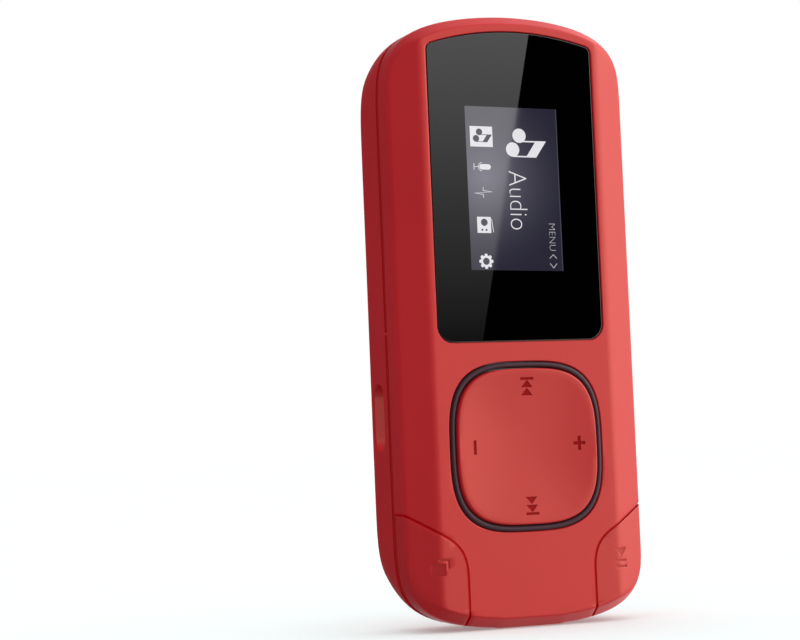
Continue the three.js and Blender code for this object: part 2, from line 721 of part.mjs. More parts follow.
const clipGroup = addGroup("clip");

/** Side view of the arm: thumb lever above the pin, jaw below it that bends in to the case. */
function clipProfile() {
  const outer = CLIP_DEPTH;
  const inner = CLIP_DEPTH - CLIP.thick;
  const shape = new THREE.Shape();
  shape.moveTo(CLIP.jaw, CLIP.base + 0.9);
  shape.quadraticCurveTo(CLIP.jaw, CLIP.base, CLIP.jaw + 0.9, CLIP.base);
  shape.quadraticCurveTo(outer, CLIP.base + 0.6, outer, CLIP.base + 6.5);
  shape.lineTo(outer, CLIP.top - 6);
  shape.quadraticCurveTo(outer, CLIP.top, outer - 1.1, CLIP.top);
  shape.quadraticCurveTo(inner - 0.2, CLIP.top, inner - 0.2, CLIP.top - 1.5);
  shape.lineTo(inner, CLIP.top - 5);
  shape.lineTo(inner, CLIP.base + 8.5);
  shape.quadraticCurveTo(inner, CLIP.base + 5, CLIP.jaw + 0.6, CLIP.base + 3.8);
  shape.quadraticCurveTo(CLIP.jaw, CLIP.base + 3.6, CLIP.jaw, CLIP.base + 3);
  return shape;
}

/** Front view of the arm: a long plate with rounded corners, a little narrower at the jaw. */
function clipPlan() {
  const wide = CLIP.halfWidth;
  const narrow = CLIP.halfWidth - 1.2;
  const round = 4;
  const shape = new THREE.Shape();
  shape.moveTo(-narrow + round, CLIP.base);
  shape.lineTo(narrow - round, CLIP.base);
  shape.quadraticCurveTo(narrow, CLIP.base, narrow, CLIP.base + round);
  shape.lineTo(wide, CLIP.top - round - 1);
  shape.quadraticCurveTo(wide, CLIP.top, wide - round - 1, CLIP.top);
  shape.lineTo(-wide + round + 1, CLIP.top);
  shape.quadraticCurveTo(-wide, CLIP.top, -wide, CLIP.top - round - 1);
  shape.lineTo(-narrow, CLIP.base + round);
  shape.quadraticCurveTo(-narrow, CLIP.base, -narrow + round, CLIP.base);
  return shape;
}

function clipArm() {
  const plate = solid(prismX(clipProfile(), -CLIP.halfWidth - 1, CLIP.halfWidth + 1, 6));
  let arm = plate.intersect(solid(prismY(clipPlan(), CLIP.jaw - 1, CLIP_DEPTH + 1, 6)));
  const lugRoom = block(
    [-LUG.outer - 0.2, 12, CLIP.z - 2.2],
    [LUG.outer + 0.2, CLIP_DEPTH - 1.05, CLIP.z + 2.2],
  );
  const legRoom = block([-3.2, 12, CLIP.z], [3.2, CLIP_DEPTH - 1.5, CLIP.z + 5.8]);
  arm = arm.subtract(solid(lugRoom)).subtract(solid(legRoom));
  for (const side of [-1, 1]) {
    const [from, to] = [side * EAR.inner, side * EAR.outer].sort((a, b) => a - b);
    const knuckle = solid(rod("x", KNUCKLE_RADIUS, from, to, [CLIP.depth, CLIP.z]));
    const web = block(
      [from, CLIP.depth, CLIP.z - KNUCKLE_RADIUS],
      [to, CLIP_DEPTH - CLIP.thick + 0.3, CLIP.z + KNUCKLE_RADIUS],
    );
    arm = arm.add(knuckle).add(solid(web));
  }
  return arm.subtract(solid(rod("x", PIN_RADIUS + 0.09, -9, 9, [CLIP.depth, CLIP.z])));
}

addPiece(clipGroup, "clip_arm", clipArm(), coral);
const hingePin = rod("x", PIN_RADIUS, -EAR.outer, EAR.outer, [CLIP.depth, CLIP.z]);
addPiece(clipGroup, "clip_hinge_pin", hingePin, tin);

/** Torsion spring round the pin: both legs reach up, one to the case and one to the thumb lever. */
class SpringCurve extends THREE.Curve {
  getPoint(t, target = new THREE.Vector3()) {
    const turns = 4;
    const coilRadius = 1.02;
    const halfCoil = 2.4;
    const leg = 5;
    const legShare = 0.16;
    const side = t < 0.5 ? -1 : 1;
    if (t < legShare || t > 1 - legShare) {
      const along = leg * (1 - Math.min(t, 1 - t) / legShare);
      return target.set(side * halfCoil, CLIP.depth + side * coilRadius, CLIP.z + along);
    }
    const wound = (t - legShare) / (1 - 2 * legShare);
    // Starts on the case side, ends on the lever side, so it makes half a turn more.
    const angle = -Math.PI / 2 - wound * 2 * Math.PI * (turns + 0.5);
    return target.set(
      -halfCoil + wound * 2 * halfCoil,
      CLIP.depth + coilRadius * Math.sin(angle),
      CLIP.z + coilRadius * Math.cos(angle),
    );
  }
}

const springSection = new THREE.Shape();
springSection.absarc(0, 0, 0.22, 0, 2 * Math.PI, false);
const springOptions = { steps: 84, curveSegments: 3, extrudePath: new SpringCurve() };
addPiece(clipGroup, "clip_spring", new THREE.ExtrudeGeometry(springSection, springOptions), spring);

export default player;
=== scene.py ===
"""Looks of the clip-on audio player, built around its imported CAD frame.

Metres, +Z up, the display faces -Y."""

import json
import math

import bmesh
import bpy
from mathutils import Matrix, Vector
from mathutils.bvhtree import BVHTree


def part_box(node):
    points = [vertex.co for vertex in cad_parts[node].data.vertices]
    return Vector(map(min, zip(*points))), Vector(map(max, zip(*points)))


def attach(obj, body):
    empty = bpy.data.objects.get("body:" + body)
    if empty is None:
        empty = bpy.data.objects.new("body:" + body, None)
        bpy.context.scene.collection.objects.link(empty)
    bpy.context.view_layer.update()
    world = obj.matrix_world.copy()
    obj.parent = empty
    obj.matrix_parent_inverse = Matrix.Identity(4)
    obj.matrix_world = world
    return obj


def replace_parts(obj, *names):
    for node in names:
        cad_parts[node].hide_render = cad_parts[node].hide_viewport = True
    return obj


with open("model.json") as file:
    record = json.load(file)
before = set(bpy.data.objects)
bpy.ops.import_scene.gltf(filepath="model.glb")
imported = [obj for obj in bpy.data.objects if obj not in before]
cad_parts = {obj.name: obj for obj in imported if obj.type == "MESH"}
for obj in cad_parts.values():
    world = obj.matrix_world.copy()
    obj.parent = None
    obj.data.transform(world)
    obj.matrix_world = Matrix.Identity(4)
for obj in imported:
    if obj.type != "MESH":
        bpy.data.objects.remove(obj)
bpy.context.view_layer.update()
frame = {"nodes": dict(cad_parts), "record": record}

MM = 0.001
FACE_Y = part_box("front_shell")[0].y  # the flat front face
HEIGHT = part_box("front_shell")[1].z / MM

# ---- Dimensions in millimetres, as in the CAD model: x, depth behind the front face, z ------------------

TOP_END = {"half_width": 15.95, "rise": 30, "across": 1.9, "along": 12}
BASE_END = {"half_width": 16.0, "rise": 21.2, "across": 2.5, "along": 8.1}
FOOT_HALF_WIDTH = 4
BODY_DEPTH = 12.6
BACK_RADIUS = 1.5
SEAM_DEPTH = 5.35
SWEEP = {"base": 3.6, "base_power": 1.9, "top": 2.8, "top_power": 2.6}  # of the ends, behind the seam
FACET = {"depth": 1.7, "flat_half_width": 12, "side": 4, "rim": 0.5, "base": 1.3, "top": 1.2}
FRONT_END = SEAM_DEPTH - 0.42
REAR_START = SEAM_DEPTH + 0.33
WALL = 1.3
LIP_OUTER = 0.6  # how far the rear shell's lip lies inside the outline
FRONT_WALL = 1.9
WINDOW = {"half_width": 11.1, "base": 35.2, "top": 73.75, "arch": 36, "base_corner": 2, "top_corner": 0.9}
WINDOW_FRONT = 0.12
WINDOW_BACK = 1.07
PAD = {"z": 22.2, "half_width": 10.25, "half_height": 10.5, "exponent": 3.22}
PAD_PROUD = 0.5
DISH_DEPTH = 0.6
RING_GAP = 0.1
RING_WIDTH = 0.65
PAD_GAP = 0.2
CORNER = {"seam_x": 8.7, "side_z": 14.3, "slope": 0.6, "gap": 0.32}
EDGE = 0.12  # radius of moulded edges along the openings
USB = {"z": 26.5, "depth": 9.0, "length": 8.4, "height": 3.6}
CARD = {"z": 27.2, "depth": 7.9, "length": 11.6, "height": 1}
JACK = {"depth": 9.25, "mouth": 2.35}
MIC = {"z": 36.8, "radius": 0.5}
CLIP = {"z": 57.5, "depth": 14.1, "base": 24, "top": 68.5, "half_width": 8.6}
CLIP |= {"thick": 2, "jaw": 12.9, "back": 17}
END_STEPS = 40


def place(x, depth, z):
    """A point given in the player's millimetres, in the row frame."""
    return Vector((x * MM, FACE_Y + depth * MM, z * MM))


# ---- Mesh helpers ---------------------------------------------------------------------------------------


def make_object(name, bm, material=None):
    """Finishes a bmesh into an object with smooth shading and outward faces."""
    bmesh.ops.remove_doubles(bm, verts=bm.verts, dist=1e-8)
    bmesh.ops.recalc_face_normals(bm, faces=bm.faces)
    mesh = bpy.data.meshes.new(name)
    bm.to_mesh(mesh)
    bm.free()
    mesh.shade_smooth()
    obj = bpy.data.objects.new(name, mesh)
    bpy.context.scene.collection.objects.link(obj)
    if material:
        mesh.materials.append(material)
    return obj


def skin_rows(bm, rows, capped=True):
    """Joins each ring of vertices to the next, and closes the first and the last one."""
    count = len(rows[0])
    for near, far in zip(rows, rows[1:]):
        for i in range(count):
            j = (i + 1) % count
            bm.faces.new((near[i], near[j], far[j], far[i]))
    if capped:
        bm.faces.new(rows[0])
        bm.faces.new(rows[-1])


def loft(name, stations, material=None):
    """Closed skin through rings of x, z points, each at its own depth."""
    bm = bmesh.new()
    skin_rows(bm, [[bm.verts.new(place(x, depth, z)) for x, z in ring] for depth, ring in stations])
    return make_object(name, bm, material)


def side_loft(name, stations, material=None):
    """Closed skin through rings of depth, z points, each at its own x."""
    bm = bmesh.new()
    skin_rows(bm, [[bm.verts.new(place(x, depth, z)) for depth, z in ring] for x, ring in stations])
    return make_object(name, bm, material)


def upright_loft(name, ring, low, high):
    """Closed skin along z through a ring of x, depth points."""
    bm = bmesh.new()
    skin_rows(bm, [[bm.verts.new(place(x, depth, z)) for x, depth in ring] for z in (low, high)])
    return make_object(name, bm)


def apply_modifier(obj, kind, **settings):
    modifier = obj.modifiers.new(kind, kind)
    for key, value in settings.items():
        setattr(modifier, key, value)
    bpy.context.view_layer.objects.active = obj
    with bpy.context.temp_override(object=obj, active_object=obj, selected_objects=[obj]):
        bpy.ops.object.modifier_apply(modifier=modifier.name)


def cut(obj, tools, operation="DIFFERENCE"):
    """Applies each tool to obj and removes the tool, whose material stays on the faces that it makes."""
    for tool in tools:
        settings = {"operation": operation, "object": tool, "solver": "EXACT", "material_mode": "TRANSFER"}
        apply_modifier(obj, "BOOLEAN", **settings)
        bpy.data.objects.remove(tool)


def drop_slivers(obj):
    bm = bmesh.new()
    bm.from_mesh(obj.data)
    bmesh.ops.remove_doubles(bm, verts=bm.verts, dist=2e-6)
    bmesh.ops.dissolve_degenerate(bm, edges=bm.edges, dist=1e-6)
    bm.to_mesh(obj.data)
    bm.free()


def finish_edges(obj, width=0.0, angle=50, segments=2):
    """Rounds the sharp edges that cutting left, and shades flats as flats."""
    drop_slivers(obj)
    if width:
        apply_modifier(
            obj,
            "BEVEL",
            width=width * MM,
            segments=segments,
            limit_method="ANGLE",
            angle_limit=math.radians(angle),
            use_clamp_overlap=True,
            harden_normals=False,
        )
    obj.data.shade_smooth()
    obj.data.set_sharp_from_angle(angle=math.radians(40))
    apply_modifier(obj, "WEIGHTED_NORMAL", keep_sharp=True, weight=60)


# ---- Outlines -------------------------------------------------------------------------------------------


def end_quarter(end, steps):
    """A quarter of one end of the outline, from the side to the middle: x, and distance past its centre."""
    points = []
    for i in range(steps + 1):
        angle = (math.pi / 2) * (i / steps) ** 3
        x = end["half_width"] * max(math.cos(angle), 0) ** (2 / end["across"])
        points.append((x, end["rise"] * math.sin(angle) ** (2 / end["along"])))
    return points


def body_outline():
    """The whole outline, anticlockwise seen from the front, starting at the right of the foot."""
    low = [(x, BASE_END["rise"] - past) for x, past in end_quarter(BASE_END, END_STEPS)]
    low = [(x, z) for x, z in low if x > FOOT_HALF_WIDTH + 0.3][::-1]
    high = [(x, HEIGHT - TOP_END["rise"] + past) for x, past in end_quarter(TOP_END, END_STEPS)]
    right = [(FOOT_HALF_WIDTH, 0.0), *low, *high]
    return right + [(-x, z) for x, z in right[:-1][::-1]]


OUTLINE = body_outline()


def inset_outline(side, base=None, top=None):
    base = side if base is None else base
    top = side if top is None else top
    wide = 1 - side / BASE_END["half_width"]
    tall = (HEIGHT - base - top) / HEIGHT
    return [(x * wide, base + z * tall) for x, z in OUTLINE]


def section_at(depth, margin=0.0):
    """The outline at a depth, with its ends swept in behind the seam, drawn in all round by a margin."""
    share = max(depth - SEAM_DEPTH, 0) / (BODY_DEPTH - SEAM_DEPTH)
    base = SWEEP["base"] * share ** SWEEP["base_power"]
    top = SWEEP["top"] * share ** SWEEP["top_power"]
    return inset_outline(margin, margin + base, margin + top)


def facet_ring(share, extra=0.0):
    """A level line of the front: 1 is the edge of the flat face, 0 is the side wall. Straight facets fall
    away along both sides, and a narrow one follows the outline."""
    reach = FACET["flat_half_width"] + FACET["side"] * (1 - share) - extra
    ring = inset_outline(*(FACET[edge] * share + extra for edge in ("rim", "base", "top")))
    return [(max(-reach, min(reach, x)), z) for x, z in ring]


def bezier(a, b, c, t):
    return tuple((1 - t) ** 2 * p + 2 * t * (1 - t) * q + t * t * r for p, q, r in zip(a, b, c))


def front_stations(end, edge=EDGE, sunk=0.0):
    """Front face, soft crease, facet, soft shoulder, side wall and a rounded edge at the seam.
    A sunk skin runs that far under the outer one."""
    profile = [(1.5, 0.0), (1.25, 0.0)]
    crease = ((1.12, 0.0), (1.0, 0.0), (0.88, 0.12 * FACET["depth"]))
    profile += [bezier(*crease, t / 6) for t in range(7)]
    profile += [(share / 8, (1 - share / 8) * FACET["depth"]) for share in (6, 5, 4, 3, 2)]
    shoulder = ((0.13, 0.87 * FACET["depth"]), (0.0, FACET["depth"]), (0.0, FACET["depth"] + 0.55))
    profile += [bezier(*shoulder, t / 6) for t in range(7)]
    profile += [(0.0, 3.2), (0.0, end - edge)]
    stations = [(depth + sunk * 0.9, facet_ring(share, sunk)) for share, depth in profile]
    if sunk:
        return stations
    for turn in (1, 2, 3):
        angle = turn / 3 * math.pi / 2
        drawn = edge * (1 - math.cos(angle))
        stations.append((end - edge + edge * math.sin(angle), facet_ring(0, drawn)))
    return stations


def rear_stations(start, edge=EDGE):
    """Rounded edge at the seam, side wall, and the rounded edge of the flat back."""
    stations = []
    for turn in (0, 1, 2, 3):
        angle = turn / 3 * math.pi / 2
        depth = start + edge * (1 - math.cos(angle))
        stations.append((depth, section_at(depth, edge * (1 - math.sin(angle)))))
    round_from = BODY_DEPTH - BACK_RADIUS
    for step in range(1, 12):
        depth = start + (round_from - start) * step / 12
        stations.append((depth, section_at(depth)))
    for turn in range(11):
        angle = turn / 10 * math.pi / 2
        depth = round_from + BACK_RADIUS * math.sin(angle)
        stations.append((depth, section_at(depth, BACK_RADIUS * (1 - math.cos(angle)))))
    stations.append((BODY_DEPTH, section_at(BODY_DEPTH, BACK_RADIUS + 1.2)))
    return stations


def pad_ring(margin, count=160):
    points = []
    power = 2 / PAD["exponent"]
    for i in range(count):
        angle = 2 * math.pi * i / count
        c, s = math.cos(angle), math.sin(angle)
        x = math.copysign(abs(c) ** power, c) * (PAD["half_width"] + margin)
        z = math.copysign(abs(s) ** power, s) * (PAD["half_height"] + margin)
        points.append((x, PAD["z"] + z))
    return points


def arc(x, z, radius, start, end, steps):
    span = [start + (end - start) * i / steps for i in range(steps + 1)]
    return [(x + radius * math.cos(a), z + radius * math.sin(a)) for a in span]


def window_ring(margin):
    side = WINDOW["half_width"] + margin
    low = WINDOW["base"] - margin
    radius = WINDOW["arch"] + margin
    arch_z = WINDOW["top"] - WINDOW["arch"]
    low_round = max(WINDOW["base_corner"] + margin, 0.15)
    high_round = max(WINDOW["top_corner"] + margin, 0.15)
    corner_x = side - high_round
    corner_z = arch_z + math.sqrt((radius - high_round) ** 2 - corner_x**2)
    lean = math.atan2(corner_z - arch_z, corner_x)
    right = arc(side - low_round, low + low_round, low_round, -math.pi / 2, 0, 10)
    right += arc(corner_x, corner_z, high_round, 0, lean, 8)
    right += arc(0, arch_z, radius, lean, math.pi / 2, 20)[1:]
    return right + [(-x, z) for x, z in right[:-1][::-1]]


def corner_boundary(margin):
    """The seam of a corner button on the right side, from beyond the side wall to below the base."""
    inner = CORNER["seam_x"] - margin
    far = BASE_END["half_width"] + 3

    def high(x):
        return CORNER["side_z"] + margin * 1.1 - CORNER["slope"] * (BASE_END["half_width"] - x)

    bend = inner + 3.1
    start, a = (bend, high(bend)), (inner + 1.1, high(inner + 1.1))
    b, end = (inner, 9.7), (inner, 6.6)
    points = [(far, high(far)), (16.6, high(16.6)), (14.4, high(14.4)), (13, high(13))]
    for i in range(15):
        t = i / 14
        u = 1 - t
        weights = (u**3, 3 * u * u * t, 3 * u * t * t, t**3)
        points.append(tuple(sum(w * p[k] for w, p in zip(weights, (start, a, b, end))) for k in (0, 1)))
    return points + [(inner, 4.4), (inner, 2.2), (inner, -2), (far, -2)]


def corner_tool(side, margin, material=None):
    ring = [(side * x, z) for x, z in corner_boundary(margin)]
    return loft("corner_tool", [(-3, ring), (7, ring)], material)


def rounded_tool(ring_of, margin, back, edge=EDGE):
    """Cutter through the front face whose mouth flares, so that it leaves a rounded edge."""
    stations = [(-3, ring_of(margin + edge)), (-0.004, ring_of(margin + edge))]
    for turn in range(1, 5):
        angle = turn / 4 * math.pi / 2
        stations.append((edge * (1 - math.cos(angle)), ring_of(margin + edge * (1 - math.sin(angle)))))
    stations.append((back, ring_of(margin)))
    return loft("opening_tool", stations)


def hollow_tool(narrow_from, wide_from, to):
    """Inside of the case: narrow behind the front wall, wider near the seam."""
    stations = [(narrow_from, facet_ring(0, WALL + 0.6)), (narrow_from + 0.6, facet_ring(0, WALL))]
    stations += [(wide_from, facet_ring(0, WALL)), (wide_from + 0.01, facet_ring(0, LIP_OUTER - 0.1))]
    stations.append((to, facet_ring(0, LIP_OUTER - 0.1)))
    return loft("hollow_tool", stations)


def side_round(z, depth, length, height, from_x, to_x, flare_x=None, edge=0.25):
    """Stadium cutter along x; flare_x is the wall's outer face, where the mouth is rounded."""

    def ring(margin):
        radius = height / 2 + margin
        half = length / 2 - height / 2
        upper = arc(depth, z + half, radius, 0, math.pi, 12)
        lower = arc(depth, z - half, radius, math.pi, 2 * math.pi, 12)
        return upper + lower

    if flare_x is None:
        return side_loft("side_tool", [(from_x, ring(0)), (to_x, ring(0))])
    inward = math.copysign(1, to_x - from_x)
    stations = [(from_x, ring(edge)), (flare_x - inward * 0.01, ring(edge))]
    for turn in range(1, 5):
        angle = turn / 4 * math.pi / 2
        stations.append((flare_x + inward * edge * (1 - math.cos(angle)), ring(edge * (1 - math.sin(angle)))))
    stations.append((to_x, ring(0)))
    return side_loft("side_tool", stations)


# ---- Materials ------------------------------------------------------------------------------------------


def new_material(name, colour, roughness, metallic=0.0):
    material = bpy.data.materials.new(name)
    material.use_nodes = True
    shader = material.node_tree.nodes["Principled BSDF"]
    shader.inputs["Base Color"].default_value = (*colour, 1)
    shader.inputs["Roughness"].default_value = roughness
    shader.inputs["Metallic"].default_value = metallic
    return material, material.node_tree, shader


def add_node(tree, kind, **settings):
    node = tree.nodes.new(kind)
    for key, value in settings.items():
        if key in node.inputs:
            node.inputs[key].default_value = value
        else:
            setattr(node, key, value)
    return node


def add_noise(tree, scale, detail=2.0):
    place_node = add_node(tree, "ShaderNodeTexCoord")
    noise = add_node(tree, "ShaderNodeTexNoise", Scale=scale, Detail=detail)
    tree.links.new(place_node.outputs["Object"], noise.inputs["Vector"])
    return noise.outputs["Fac"]


def vary_colour(tree, shader, source, colour, spread):
    """Mixes the base colour between slightly darker and slightly lighter by a texture."""
    ramp = add_node(tree, "ShaderNodeValToRGB")
    ramp.color_ramp.elements[0].position = 0.3
    ramp.color_ramp.elements[1].position = 0.7
    ramp.color_ramp.elements[0].color = (*[c * (1 - spread) for c in colour], 1)
    ramp.color_ramp.elements[1].color = (*[min(c * (1 + spread), 1) for c in colour], 1)
    tree.links.new(source, ramp.inputs["Fac"])
    tree.links.new(ramp.outputs["Color"], shader.inputs["Base Color"])


def vary_roughness(tree, shader, source, low, high):
    span = add_node(tree, "ShaderNodeMapRange")
    span.inputs["To Min"].default_value = low
    span.inputs["To Max"].default_value = high
    tree.links.new(source, span.inputs["Value"])
    tree.links.new(span.outputs["Result"], shader.inputs["Roughness"])


def add_bump(tree, shader, source, height, strength=1.0):
    bump = add_node(tree, "ShaderNodeBump", Strength=strength, Distance=height)
    tree.links.new(source, bump.inputs["Height"])
    tree.links.new(bump.outputs["Normal"], shader.inputs["Normal"])


def soft_touch(name, colour, roughness=0.5, gloss=0.23):
    """Soft-touch moulded plastic: fine grain, faint cloudiness in colour and gloss."""
    material, tree, shader = new_material(name, colour, roughness)
    shader.inputs["Specular IOR Level"].default_value = gloss
    # The yellowish specular tint paints in the warm colour of the key light's reflection.
    shader.inputs["Specular Tint"].default_value = (1, 1, 0.67, 1)
    cloud = add_noise(tree, 90, 3)
    grain = add_noise(tree, 5200, 2)
    vary_colour(tree, shader, cloud, colour, 0.03)
    vary_roughness(tree, shader, cloud, roughness - 0.04, roughness + 0.05)
    add_bump(tree, shader, grain, 0.000006, 0.5)
    return material


def moulded(name, colour, roughness, metallic=0.0, scale=1500, bump=0.00001, spread=0.08):
    """General small-part finish: a little grain, a little variation."""
    material, tree, shader = new_material(name, colour, roughness, metallic)
    noise = add_noise(tree, scale, 3)
    vary_colour(tree, shader, noise, colour, spread)
    vary_roughness(tree, shader, noise, roughness * 0.85, min(roughness * 1.2, 1))
    add_bump(tree, shader, noise, bump, 0.4)
    return material


coral = soft_touch("coral_soft_touch", (0.58, 0.0126, 0.024))
coral_button = soft_touch("coral_button_soft_touch", (0.54, 0.0126, 0.023), 0.48)
# Seams, lip and the step under the corner buttons: a darker, less glossy red that paints in the shade inside
# the seams.
groove_painted_shade = soft_touch("groove_painted_shade_soft_touch", (0.58, 0.002, 0.01), 0.6, 0.05)
# Floors of the pad's marks and the rear shell's seam rim: a deep red that paints in the shade of these
# recesses.
mark_and_rim_painted_shade = soft_touch("mark_and_rim_painted_shade_soft_touch", (0.38, 0.002, 0.007), 0.6, 0.05)
# Floors of the corner buttons' marks: a slightly darker red, painted shade of the shallow recesses.
faint_mark_painted_shade = soft_touch("faint_mark_painted_shade_soft_touch", (0.48, 0.01, 0.02), 0.6, 0.2)
trim = moulded("dark_trim", (0.045, 0.018, 0.025), 0.5, scale=2500, bump=0.000003)
trim.node_tree.nodes["Principled BSDF"].inputs["Specular IOR Level"].default_value = 0.12


def window_material():
    """Polished black pane, with a faint unevenness in its gloss."""
    colour = (0.0003, 0.0003, 0.0004)
    material, tree, shader = new_material("black_pane", colour, 0.01)
    smear = add_noise(tree, 60, 3)
    vary_roughness(tree, shader, smear, 0.003, 0.012)
    vary_colour(tree, shader, smear, colour, 0.3)
    return material


black_pane = window_material()

# ---- Shells ---------------------------------------------------------------------------------------------


def bar(x, z, wide, tall):
    half, rise = wide / 2, tall / 2
    return [(x - half, z - rise), (x + half, z - rise), (x + half, z + rise), (x - half, z + rise)]


def sink_marks(obj, outlines, deep, material):
    """Debosses marks into obj, their floors as deep as stated below its front surface."""
    bm = bmesh.new()
    bm.from_mesh(obj.data)
    tree = BVHTree.FromBMesh(bm)
    bm.free()
    for outline in outlines:
        tool = bmesh.new()
        near = [tool.verts.new(place(x, -3, z)) for x, z in outline]
        hits = [tree.ray_cast(v.co, Vector((0, 1, 0)))[0] for v in near]
        far = [tool.verts.new(hit + Vector((0, deep * MM, 0))) for hit in hits]
        skin_rows(tool, [near, far])
        cut(obj, [make_object("mark_tool", tool, material)])


def mic_tool():
    ring = arc(SEAM_DEPTH, MIC["z"], MIC["radius"], 0, 2 * math.pi * 15 / 16, 15)
    return side_loft("mic_tool", [(x, ring) for x in (-20, -13)])


def front_skin(end=FRONT_END):
    skin = loft("front_skin", front_stations(end), coral)
    cut(skin, [hollow_tool(FRONT_WALL, REAR_START - 1.35, 7)])
    return skin


FLANGE = {"under": 0.32, "thick": 0.4, "reach": 0.85}  # step under each corner button's seam


def flange_layer(side, sunk, reach):
    """Layer of the front that lies a step under the surface, within reach of a corner button's seam."""
    # The layer carries the darker red of painted seam shade.
    layer = loft("flange_layer", front_stations(FRONT_END, sunk=sunk), groove_painted_shade)
    cut(layer, [corner_tool(side, reach)], "INTERSECT")
    return layer


def build_front_shell():
    shell = front_skin()
    shell.name = "front_shell_skin"
    cut(
        shell,
        [
            rounded_tool(window_ring, 0.12, WINDOW_BACK + 0.1, 0.1),
            loft("ledge_tool", [(-3, window_ring(-1.4)), (3, window_ring(-1.4))]),
            rounded_tool(pad_ring, 0, 3, 0.14),
            # The corner cutters give the seam walls the darker red of painted seam shade.
            *[corner_tool(side, CORNER["gap"], groove_painted_shade) for side in (-1, 1)],
            *[flange_layer(side, FLANGE["under"] - 0.05, FLANGE["reach"] + 0.15) for side in (-1, 1)],
            mic_tool(),
        ],
    )
    finish_edges(shell, 0.1)
    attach(shell, "case")
    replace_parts(shell, "front_shell")


build_front_shell()


def build_corner_button(name, side, marks):
    button = front_skin(FRONT_END - 0.25)
    button.name = name + "_skin"
    # The button's walls along its seam get the darker red of painted seam shade.
    cut(button, [corner_tool(side, 0, groove_painted_shade)], "INTERSECT")
    flange = flange_layer(side, FLANGE["under"], FLANGE["reach"])
    cut(flange, [loft("flange_hollow_tool", front_stations(6, sunk=FLANGE["under"] + FLANGE["thick"]))])
    cut(button, [flange], "UNION")
    # The mark floors get a slightly darker red, painted shade of the recesses.
    sink_marks(button, marks, 0.1, faint_mark_painted_shade)
    finish_edges(button, 0.1)
    button.data.materials[0] = coral_button
    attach(button, name)
    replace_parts(button, name)


SHEETS_MARK = [
    [(-13.1, 6.95), (-11.45, 6.95), (-11.45, 8.4), (-13.1, 8.4)],
    [(-12.35, 8.68), (-11.2, 8.68), (-11.2, 7.75), (-10.95, 7.75), (-10.95, 8.95), (-12.35, 8.95)],
]
PLAY_MARK = [
    [(11.45, 9.05), (12.3, 7.95), (13.15, 9.05)],
    bar(12.3, 7.5, 1.65, 0.26),
    bar(12.3, 6.75, 1.65, 0.26),
]
build_corner_button("mode_button", -1, SHEETS_MARK)
build_corner_button("play_button", 1, PLAY_MARK)


def paint_seam_rim_shade(obj, depth, material):
    """Gives the faces that look out of a seam a darker red: painted shade of the seam."""
    obj.data.materials.append(material)
    for face in obj.data.polygons:
        if face.normal.y < -0.5 and abs(face.center.y - FACE_Y - depth * MM) < 0.1 * MM:
            face.material_index = len(obj.data.materials) - 1


KNUCKLE_RADIUS = 1.3  # of the lugs and ears round the clip's pin
LUG = {"inner": 4.0, "outer": 5.4, "root": BODY_DEPTH - 0.3, "half_height": 2.4}


def clip_lug(side):
    """Lug on the back of the case that carries the clip's pin."""
    low = (LUG["root"], CLIP["z"] - LUG["half_height"])
    high = (LUG["root"], CLIP["z"] + LUG["half_height"])
    ring = [low, *arc(CLIP["depth"], CLIP["z"], KNUCKLE_RADIUS, -math.pi / 2, math.pi / 2, 16), high]
    span = sorted((side * LUG["inner"], side * LUG["outer"]))
    return side_loft("lug_part", [(x, ring) for x in span])


def build_rear_shell():
    shell = loft("rear_shell_skin", rear_stations(REAR_START), coral)
    inner = [(depth, section_at(depth, WALL)) for depth in (REAR_START - 2, 6, 7.5, 9, 10.2)]
    inner.append((BODY_DEPTH - 1.2, section_at(BODY_DEPTH - 1.2, WALL + 0.4)))
    card = bar(CARD["depth"], CARD["z"], CARD["height"], CARD["length"])
    jack_ring = arc(0, JACK["depth"], JACK["mouth"], 0, 2 * math.pi * 47 / 48, 47)
    cut(
        shell,
        [
            loft("rear_hollow_tool", inner),
            side_round(**USB, from_x=-20, to_x=-13, flare_x=-15.98),
            side_loft("card_tool", [(13, card), (20, card)]),
            upright_loft("jack_tool", jack_ring, -2, 4.5),
            mic_tool(),
        ],
    )
    lip_ring, lip_room = facet_ring(0, LIP_OUTER), facet_ring(0, WALL)
    # The lip, seen only down the seam, gets the darker red of painted seam shade.
    lip = loft("lip_part", [(REAR_START - 0.9, lip_ring), (REAR_START + 0.3, lip_ring)], groove_painted_shade)
    cut(lip, [loft("lip_hollow_tool", [(REAR_START - 2, lip_room), (REAR_START + 2, lip_room)])])
    cut(shell, [lip], "UNION")
    for side in (-1, 1):
        cut(shell, [clip_lug(side)], "UNION")
    # The rear shell's rim in the seam gets a deep red, painted shade of the seam.
    paint_seam_rim_shade(shell, REAR_START, mark_and_rim_painted_shade)
    finish_edges(shell, 0.1)
    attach(shell, "case")
    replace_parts(shell, "rear_shell")


build_rear_shell()

# ---- Pad, ring and window -------------------------------------------------------------------------------


def track_mark(z, up):
    """Two arrowheads and a stop bar, pointing up or down."""
    outlines = []
    for step in (-0.62, 0.38):
        tip = z + up * (step + 0.62)
        base = z + up * (step - 0.32)
        outlines.append([(0.2, tip), (-0.58, base), (0.98, base)][:: int(up)])
    outlines.append(bar(0.2, z + up * 1.14, 1.75, 0.33))
    return outlines


